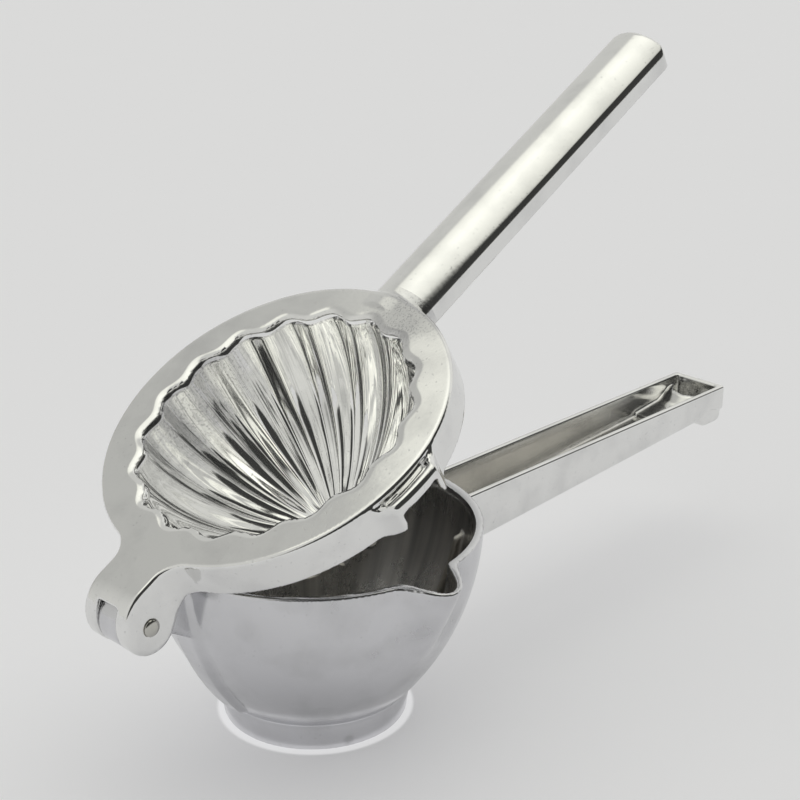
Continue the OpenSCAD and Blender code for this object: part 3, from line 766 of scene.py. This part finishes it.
def noise(vector, scale, detail, stretch=None):
    """A noise texture on a vector, stretched along its axes if asked."""
    if stretch:
        vector = node(vector.tree, "ShaderNodeMapping", {"Vector": vector, "Scale": stretch})
    inputs = {"Vector": vector, "Scale": scale, "Detail": detail}
    return node(vector.tree, "ShaderNodeTexNoise", inputs, "Fac")


FLOW_WIDTH = 0.03  # mean radius in metres that turns angles round the cup into widths for its lines
LINES_PER_WIDTH = 18 / FLOW_WIDTH  # turns the cup's widths back into the waves of its 18 flutes
SEAM = 0.0005  # chamfer on the cup's inner lip, which shows as the seam under the plate
SHARP_FROM = math.radians(30)  # how far down the path the flutes have their full, sharper form
CREASE = 0.09  # most half depth of a flute, as a share of the groove's radius, near the cup's bottom
PER_FLUTE, PATH_POINTS = 20, 112  # the grid's columns for each flute, and its rows along the path


def fluted_cup_tree():
    """Geometry Nodes group that turns a grid into a closed, fluted press cup."""
    numbers = "Flutes,Turn,Groove radius,Top,Depth,Wall,Flute depth,Extra depth,Fullness".split(",")
    tree, of = group_of(
        "GeometryNodeTree", "Fluted press cup",
        [("Around", "Int"), ("Along", "Int"), *((label, "Float") for label in numbers),
         ("Finish", "Material")],
        [("Geometry", "Geometry")])
    grid = node(tree, "GeometryNodeMeshGrid", {
        "Size X": 1, "Size Y": 1, "Vertices X": of["Around"], "Vertices Y": of["Along"]})
    across, path, _ = node(tree, "GeometryNodeInputPosition").parts()
    angle = (across + 0.5) * (2 * math.pi)
    # the path runs up the outside, over the lip and down the inside
    path = path * 2
    outside = path.math("LESS_THAN", 0.0)
    lip = (of["Along"] - 1) ** -1
    down = (path.math("ABSOLUTE") - lip) / (1 - lip)
    level = down * (math.pi / 2)
    power = of["Fullness"] ** -1 * 2
    narrow = level.math("COSINE").math("MAXIMUM", 0.0) ** power
    deep = level.math("SINE").math("MAXIMUM", 0.0) ** power
    groove = of["Groove radius"] * narrow
    wall = of["Wall"] * outside
    most = of["Flute depth"] + of["Extra depth"] * (level * 2).math("SINE")
    swing = most.math("MINIMUM", groove * CREASE)
    sharp = (level * (1 / SHARP_FROM)).math("MINIMUM", 1.0) * -0.6 + 2
    wave = ((angle - of["Turn"]) * of["Flutes"] * 0.5).math("SINE").math("ABSOLUTE") ** sharp
    chamfer = down.math("LESS_THAN", 0.001) * (1 - outside) * SEAM
    radius = groove + wall * narrow - swing * 2 * wave + chamfer
    spot = {0: radius * angle.math("COSINE"), 1: radius * angle.math("SINE"),
            2: of["Top"] - (of["Depth"] + wall) * deep}
    flow = {0: angle * FLOW_WIDTH, 1: down * of["Depth"], 2: outside}
    shape = node(tree, "GeometryNodeStoreNamedAttribute", {
        "Geometry": grid, "Name": "flow", "Value": node(tree, "ShaderNodeCombineXYZ", flow),
    }, data_type="FLOAT_VECTOR", domain="POINT")
    for kind, inputs in (
        ("GeometryNodeSetPosition", {"Position": node(tree, "ShaderNodeCombineXYZ", spot)}),
        ("GeometryNodeMergeByDistance", {"Distance": 1e-6}),
        ("GeometryNodeSetShadeSmooth", {}),
        ("GeometryNodeRealizeInstances", {}),
        ("GeometryNodeSetMaterial", {"Material": of["Finish"]}),
    ):
        shape = node(tree, kind, {0: shape, **inputs})
    feed(tree.nodes.new("NodeGroupOutput"), {0: shape})
    return tree


def from_tree(name, tree, **values):
    """Plain mesh that a Geometry Nodes group makes from the named values."""
    holder = bpy.data.objects.new(name, bpy.data.meshes.new(name))
    bpy.context.scene.collection.objects.link(holder)
    modifier = holder.modifiers.new(name, "NODES")
    modifier.node_group = tree
    for item in tree.interface.items_tree:
        if item.item_type == "SOCKET" and item.in_out == "INPUT":
            modifier[item.identifier] = values[item.name.replace(" ", "_").lower()]
    bpy.context.view_layer.update()
    done = bpy.data.meshes.new_from_object(holder.evaluated_get(bpy.context.evaluated_depsgraph_get()))
    holder.modifiers.clear()
    bpy.data.objects.remove(holder)
    return done


FOOT_SHADE_LOW, FOOT_SHADE_HIGH = (0.009, 0.0105), (0.034, 0.015)  # heights over which the painted shade above the foot starts and ends, in metres
# colour of the hollows in the bowl and channel: the raw casting's tone, darkened as painted shade
CAST_AND_SHADE_COLOUR = (0.5, 0.48, 0.44, 1)


def polish_group():
    """Shared effect: the ripple, haze, fine lines and rough hollows of polished metal, with painted shade
    darkening the hollows and the belly above the foot.
    """
    tree, of = group_of(
        "ShaderNodeTree", "Polish marks",
        [("Vector", "Vector"), ("Flow", "Vector"), ("Gloss", "Float", 0.1), ("Haze", "Float", 0.08),
         ("Ripple", "Float", 0.4), ("Marks", "Float", 0.2), ("Lines", "Float", 0.0), ("Hollow", "Float", 0.0),
         ("Spot", "Vector", (0, 0, -1)), ("Spread", "Float", 0.001), ("Foot", "Float", 0.0),
         ("Metal", "Color"), ("Dull", "Color"), ("Cast", "Color", CAST_AND_SHADE_COLOUR)],
        [("Color", "Color"), ("Roughness", "Float"), ("Height", "Float")])
    where, flow = of["Vector"], of["Flow"]
    broad = noise(where, 28, 2)
    cloudy = noise(where, 90, 4)
    fine = noise(where, 900, 3, (1, 1, 0.12))
    scratch = noise(where, 1400, 2, (1, 0.04, 1))
    # one worn spot, ragged at its edge, and painted shade on the belly just above the foot
    away = node(tree, "ShaderNodeVectorMath", {0: where, 1: of["Spot"]}, "Value", operation="DISTANCE")
    worn = (away / of["Spread"] + noise(where, 260, 3) * 0.6).step(1.3, 0.6)
    level = where.parts()[2]
    dull_and_shade = of["Foot"] * level.step(*FOOT_SHADE_HIGH) * level.step(*FOOT_SHADE_LOW)
    haze = (cloudy - 0.45).math("MAXIMUM", 0.0) * 2
    specks = noise(where, 1100, 1).step(0.7, 0.76)
    specks = specks.math("MAXIMUM", worn * noise(where, 1600, 1).step(0.56, 0.64))
    rough = of["Gloss"] + of["Haze"] * haze + of["Marks"] * (fine - 0.5).math("ABSOLUTE") * 0.3
    dull = haze * 0.45 + specks * 0.3 + worn * 0.55 + dull_and_shade
    dull = dull + (broad - 0.42).math("MAXIMUM", 0.0) * of["Haze"] * 3
    colour = mixed(tree, dull.math("MINIMUM", 1.0), of["Metal"], of["Dull"])
    height = of["Ripple"] * broad + of["Marks"] * (fine * 0.05 + scratch * 0.03 - specks * 0.05)
    # fine lines run along the flutes, strongest on one side of each
    across, _, cast_and_shade_share = flow.parts()
    side = (across * LINES_PER_WIDTH).math("SINE").step(-0.6, 0.6)
    height = height + of["Lines"] * noise(flow, 1300, 1, (1, 0.02, 1)) * (side * 0.8 + 0.2)
    # hollows keep the raw casting's duller, streaked finish, and their darker colour is painted shade
    cast_and_shade = of["Hollow"] * cast_and_shade_share.math("MINIMUM", 1.0)
    streaks = noise(flow, 230, 4, (1, 0.06, 1))
    dark = mixed(tree, 1, of["Cast"], (streaks * 3 - 0.35).math("MAXIMUM", 0.3), "MULTIPLY")
    feed(tree.nodes.new("NodeGroupOutput"), {
        "Color": mixed(tree, cast_and_shade, colour, dark), "Roughness": rough + cast_and_shade * 0.2,
        "Height": height + cast_and_shade * streaks * 0.35})
    return tree


def metal(name, finish, colour, **amounts):
    """Polished metal with one of the finish's colours and its own amounts for the shared effect."""
    material = bpy.data.materials.new(name)
    material.use_nodes = True
    tree = material.node_tree
    tree.nodes.clear()
    inputs = {label.title(): value for label, value in amounts.items()}
    inputs["Vector"] = node(tree, "ShaderNodeTexCoord", output="Object")
    inputs["Metal"], inputs["Dull"] = (*getattr(finish, colour), 1), (*finish.dull_and_shade, 1)
    if "lines" in amounts or "hollow" in amounts:
        inputs["Flow"] = node(tree, "ShaderNodeAttribute", output="Vector", attribute_name="flow")
    effect = tree.nodes.new("ShaderNodeGroup")
    effect.node_tree = bpy.data.node_groups.get("Polish marks") or polish_group()
    feed(effect, inputs)
    look, rough, height = (Wire(tree, socket) for socket in effect.outputs)
    relief = node(tree, "ShaderNodeBump", {"Strength": 0.5, "Distance": 0.0006, "Height": height})
    shader = node(tree, "ShaderNodeBsdfPrincipled", {
        "Metallic": 1.0, "Base Color": look, "Roughness": rough, "Normal": relief})
    feed(tree.nodes.new("ShaderNodeOutputMaterial"), {0: shader})
    return material


# ---- operators

OVERLAP = 3  # how far past the split both pieces of a casting are made before they are cut, in mm


class SQUEEZER_OT_bowl(bpy.types.Operator):
    """Bowl casting: the bowl with foot, spout, rib and knuckle, and its channel-shaped handle"""

    bl_idname = "squeezer.bowl"
    bl_label = "Bowl and lower handle"

    def execute(self, context):
        bowl, hinge, handle, finish = sizes(context, "bowl", "hinge", "handles", "finish")
        split = handle.split_x
        cell = 0.7

        def field(p):
            return bowl_field(p, bowl, hinge, handle)

        def flow(p):
            return bowl_flow(p, bowl, handle)

        # foot sets how strong the painted shade on the belly above the foot is
        # the bowl's outside gets the darker satin colour, which is partly painted shade
        satin = metal("polished_bowl", finish, "satin", gloss=0.16, haze=0.2, ripple=0.5, marks=0.5,
                      hollow=1.0, foot=0.55, spot=(-0.0097, -0.0232, 0.0024), spread=0.0022)
        low, high = (-68, -57, -1.5), (split + OVERLAP, 47, 57.5)
        casting("bowl_casting", "base", "bowl", satin, field, low, high, cell, (split, -1), flow=flow)
        # hollow darkens the channel with painted shade
        bright = metal("polished_lower_handle", finish, "metal", gloss=0.12, haze=0.1, ripple=0.4, marks=0.5,
                       hollow=1.0)
        low, high = (split - OVERLAP, -11.5, 29), (handle.low_end + 2, 12, 50)
        casting("lower_handle_casting", "base", "lower_handle", bright, field, low, high, cell * 0.7,
                (split, 1), flow=flow)
        return {"FINISHED"}


class SQUEEZER_OT_lid(bpy.types.Operator):
    """Lid casting: the plate with skirt, tabs, hood and fork, and its arched handle"""

    bl_idname = "squeezer.lid"
    bl_label = "Lid and upper handle"

    def execute(self, context):
        bowl, hinge, lid, cup, handle = sizes(context, "bowl", "hinge", "lid", "cup", "handles")
        finish, = sizes(context, "finish")
        split = handle.split_x
        opened = lid_turn(hinge, lid)
        cell = 0.6
        low_x, low_y, low_z, high_z = -69, -55, 39, 61

        def field(p):
            return lid_field(p, bowl, hinge, lid, cup, handle)

        plate = metal("polished_plate", finish, "metal", gloss=0.09, haze=0.08, ripple=0.35, marks=0.4,
                      spot=(0.026, -0.012, 0.1085), spread=0.016)
        casting("lid_casting", "lid", "lid_plate", plate, field, (low_x, low_y, low_z),
                (split + OVERLAP, 50, high_z), cell, (split, -1), opened)
        bar = metal("polished_upper_handle", finish, "metal", gloss=0.09, haze=0.08, ripple=0.3, marks=0.4)
        # the handle's cells line up with the plate's, so that the two pieces meet without a step
        start_x = low_x + cell * math.floor((split - OVERLAP - low_x) / cell)
        start_y = low_y + cell * 70
        casting("upper_handle_casting", "lid", "upper_handle", bar, field, (start_x, start_y, low_z),
                (handle.up_end + 2, 13, high_z), cell, (split, 1), opened)
        return {"FINISHED"}


class SQUEEZER_OT_cup(bpy.types.Operator):
    """Fluted press cup, set under the plate's scalloped mouth"""

    bl_idname = "squeezer.cup"
    bl_label = "Press cup"

    def execute(self, context):
        hinge, lid, finish = sizes(context, "hinge", "lid", "finish")
        size = context.scene.squeezer_cup
        fluted = metal("fluted_metal", finish, "fluted", gloss=0.07, haze=0.02, ripple=0.2, marks=0.15,
                       lines=0.12, spot=(-0.014, 0.036, 0.085), spread=0.03)
        mesh = from_tree(
            "press_cup_flutes", fluted_cup_tree(), around=size.flutes * PER_FLUTE + 1, along=PATH_POINTS,
            flutes=float(size.flutes), turn=size.flute_turn, groove_radius=size.groove_r, top=size.cup_top,
            depth=size.depth, wall=size.wall, flute_depth=size.flute_a, extra_depth=size.flute_more,
            fullness=size.fullness, finish=fluted)
        mesh.transform(lid_turn(hinge, lid))
        mesh.name = "press_cup_flutes"
        mesh.set_sharp_from_angle(angle=math.radians(50))
        piece("press_cup_flutes", mesh, fluted, "lid", "press_cup")
        return {"FINISHED"}


class SQUEEZER_OT_rivet(bpy.types.Operator):
    """Hinge rivet with two domed heads"""

    bl_idname = "squeezer.rivet"
    bl_label = "Hinge rivet"

    def execute(self, context):
        hinge, lid, finish = sizes(context, "hinge", "lid", "finish")
        steel = metal("rivet_steel", finish, "rivet", gloss=0.16, haze=0.1, ripple=0.2, marks=0.5)
        half, r, head, rise = hinge.fork_half, hinge.pin_r, hinge.head_r, hinge.head_h
        chamfer, steps, count = (0.12, 0.1), 9, 48
        # half profile from the middle of the shank out to the crown: (distance along the pin, radius)
        side = [(half, r), (half, head - chamfer[1]), (half + chamfer[0], head)]
        for t in (math.pi / 2 * i / steps for i in range(1, steps)):
            side.append((half + chamfer[0] + (rise - chamfer[0]) * math.sin(t), head * math.cos(t) ** 0.8))
        side.append((half + rise, 0))
        bm = bmesh.new()
        rings = []
        for along, radius in [(-a, b) for a, b in reversed(side)] + side:
            turns = [2 * math.pi * k / count for k in range(count if radius else 1)]
            rings.append([bm.verts.new((hinge.pin_x + radius * math.cos(t), along,
                                        hinge.pin_z + radius * math.sin(t))) for t in turns])
        for a, b in zip(rings, rings[1:]):
            for k in range(count):
                j = (k + 1) % count
                corners = (a[k % len(a)], b[k % len(b)], b[j % len(b)], a[j % len(a)])
                bm.faces.new(list(dict.fromkeys(corners)))
        bmesh.ops.recalc_face_normals(bm, faces=bm.faces)
        bmesh.ops.scale(bm, vec=(0.001,) * 3, verts=bm.verts)
        bm.transform(lid_turn(hinge, lid))
        for face in bm.faces:
            face.smooth = True
        mesh = bpy.data.meshes.new("hinge_rivet")
        bm.to_mesh(mesh)
        bm.free()
        mesh.set_sharp_from_angle(angle=math.radians(40))
        piece("hinge_rivet", mesh, steel, "lid", "hinge_pin")
        return {"FINISHED"}


FLOOR_HALF = 6  # half the floor's width, in metres
LIGHT_RING = (0.0272, 0.026, 0.3)  # painted ring of light on the floor round the foot: its outer and full radius in metres, and its strength
CLIP = (0.02, 20)  # the camera's nearest and farthest distance, in metres


def paper_floor(stage):
    """The floor's material, which is partly its own plain tone where it is seen directly or in the metal,
    with a painted ring of light round the foot.
    """
    paper = bpy.data.materials.new("pale_table")
    paper.use_nodes = True
    tree = paper.node_tree
    shader = tree.nodes["Principled BSDF"]
    place = node(tree, "ShaderNodeTexCoord", output="Object")
    worn = tuple(0.95 * c for c in stage.paper)
    feed(shader, {"Roughness": 0.8, "Specular IOR Level": 0.1, "Base Color": mixed(
        tree, noise(place, 14, 3) * 0.2, (*stage.paper, 1), (*worn, 1))})
    tone = node(tree, "ShaderNodeEmission", {"Color": (*stage.floor, 1)})
    rays = ("Is Camera Ray", "Is Glossy Ray")
    camera, glossy = (node(tree, "ShaderNodeLightPath", output=ray) for ray in rays)
    # a painted ring of light on the table round the foot, standing in for the light the foot's metal throws
    # there
    away = node(tree, "ShaderNodeVectorMath", {0: place}, "Value", operation="LENGTH")
    share_tone = camera.math("MAXIMUM", glossy) * (away.step(*LIGHT_RING[:2]) * LIGHT_RING[2] + stage.even)
    both = {0: share_tone, 1: Wire(tree, shader.outputs[0]), 2: tone}
    feed(tree.nodes["Material Output"], {"Surface": node(tree, "ShaderNodeMixShader", both)})
    return paper


def camera_at(stage):
    """The camera, which looks past the point it is aimed from by the stage's two offsets."""
    azimuth, elevation = stage.azimuth, stage.elevation
    right = Vector((math.cos(azimuth), math.sin(azimuth), 0))
    back = Vector((math.sin(azimuth) * math.cos(elevation), -math.cos(azimuth) * math.cos(elevation),
                   math.sin(elevation)))
    up = back.cross(right)
    centre = Vector((0, 0, stage.aim_z)) / 1000
    aim = centre + (stage.aim_right * right + stage.aim_up * up) / 1000
    data = bpy.data.cameras.new("camera")
    data.lens, data.sensor_width = stage.lens, 36
    data.clip_start, data.clip_end = CLIP
    camera = bpy.data.objects.new("camera", data)
    camera.location = centre + back * stage.distance / 1000
    camera.rotation_euler = (aim - camera.location).to_track_quat("-Z", "Y").to_euler()
    return camera


def studio(stage):
    """The world: pale walls, a dark room in front of them, the table and one soft box overhead."""
    world = bpy.data.worlds.new("studio")
    world.use_nodes = True
    tree = world.node_tree
    tree.nodes.clear()
    x, y, z = node(tree, "ShaderNodeTexCoord", output="Generated").parts()
    flat = (x * x + y * y).math("SQRT").math("MAXIMUM", 0.001)
    # the walls behind the table are a little brighter to both sides
    side = x / flat
    walls = side.step(0.05, 0.25) * 0.11 + side.step(0.6, 0.95) * 0.2 + stage.walls
    walls = walls + side.step(-0.3, -0.8) * 0.17
    behind = (y / flat).step(-0.55, -0.25)
    room = walls * behind + (1 - behind) * stage.dark
    table = z.step(0.07, 0.03)
    room = room * (1 - table) + table * stage.table
    # the soft box is turned to the table and brightest near its middle
    high = z.math("MAXIMUM", 0.02)
    turn_x, turn_y = math.cos(stage.lamp_turn), math.sin(stage.lamp_turn)
    along = (x * turn_x + y * turn_y) / high
    across = (y * turn_x - x * turn_y) / high
    lamp = along.step(-0.25, -0.2) * along.step(0.63, 0.47)
    lamp = lamp * across.step(-0.98, -0.84) * across.step(0.775, 0.735)
    apart = ((along - 0.15) ** 2 + (across - 0.15) ** 2).math("SQRT")
    glow = apart.math("MINIMUM", 1.2) * -0.6 + stage.lamp
    room = mixed(tree, 1, room, (1, 1, 0.96, 1), "MULTIPLY")
    glow = mixed(tree, 1, glow, (1, 1, 0.92, 1), "MULTIPLY")
    sky = node(tree, "ShaderNodeBackground", {"Color": mixed(tree, lamp, room, glow)})
    # past the floor's edge the camera sees a tone like the floor's
    seen = node(tree, "ShaderNodeBackground", {"Color": (*stage.backdrop, 1)})
    camera = node(tree, "ShaderNodeLightPath", output="Is Camera Ray")
    feed(tree.nodes.new("ShaderNodeOutputWorld"), {
        0: node(tree, "ShaderNodeMixShader", {0: camera, 1: sky, 2: seen})})
    return world


class SQUEEZER_OT_stage(bpy.types.Operator):
    """Pale floor, studio and camera"""

    bl_idname = "squeezer.stage"
    bl_label = "Stage and camera"

    def execute(self, context):
        scene = context.scene
        stage, = sizes(context, "stage")
        mesh = bpy.data.meshes.new("floor")
        corners = [(FLOOR_HALF * x, FLOOR_HALF * y, 0) for x, y in ((-1, -1), (1, -1), (1, 1), (-1, 1))]
        mesh.from_pydata(corners, [], [(0, 1, 2, 3)])
        new_object("floor", mesh, paper_floor(stage))
        scene.camera = camera_at(stage)
        scene.collection.objects.link(scene.camera)
        scene.world = studio(stage)
        scene.view_settings.view_transform = "Standard"
        return {"FINISHED"}


class SQUEEZER_PT_panel(bpy.types.Panel):
    """Buttons for the squeezer's pieces"""

    bl_idname = "SQUEEZER_PT_panel"
    bl_label = "Lemon squeezer"
    bl_space_type = "VIEW_3D"
    bl_region_type = "UI"
    bl_category = "Squeezer"

    def draw(self, context):
        for operator in OPERATORS:
            self.layout.operator(operator.bl_idname)
        for name in GROUPS:
            group = getattr(context.scene, name)
            box = self.layout.box()
            box.label(text=group.bl_rna.description)
            for prop in group.bl_rna.properties:
                if prop.identifier not in ("rna_type", "name"):
                    box.prop(group, prop.identifier)


GROUPS = {
    "squeezer_bowl": SqueezerBowlSizes,
    "squeezer_hinge": SqueezerHingeSizes,
    "squeezer_lid": SqueezerLidSizes,
    "squeezer_cup": SqueezerCupSizes,
    "squeezer_handles": SqueezerHandleSizes,
    "squeezer_finish": SqueezerFinish,
    "squeezer_stage": SqueezerStage,
}
OPERATORS = (SQUEEZER_OT_bowl, SQUEEZER_OT_lid, SQUEEZER_OT_cup, SQUEEZER_OT_rivet, SQUEEZER_OT_stage)


def register():
    for cls in (*GROUPS.values(), *OPERATORS, SQUEEZER_PT_panel):
        bpy.utils.register_class(cls)
    for name, group in GROUPS.items():
        setattr(bpy.types.Scene, name, PointerProperty(type=group))


def unregister():
    for name in GROUPS:
        delattr(bpy.types.Scene, name)
    for cls in reversed((*GROUPS.values(), *OPERATORS, SQUEEZER_PT_panel)):
        bpy.utils.unregister_class(cls)


def main():
    """Builds every piece and the stage."""
    register()
    bpy.ops.squeezer.bowl()
    bpy.ops.squeezer.lid()
    bpy.ops.squeezer.cup()
    bpy.ops.squeezer.rivet()
    bpy.ops.squeezer.stage()


if __name__ == "__main__":
    main()
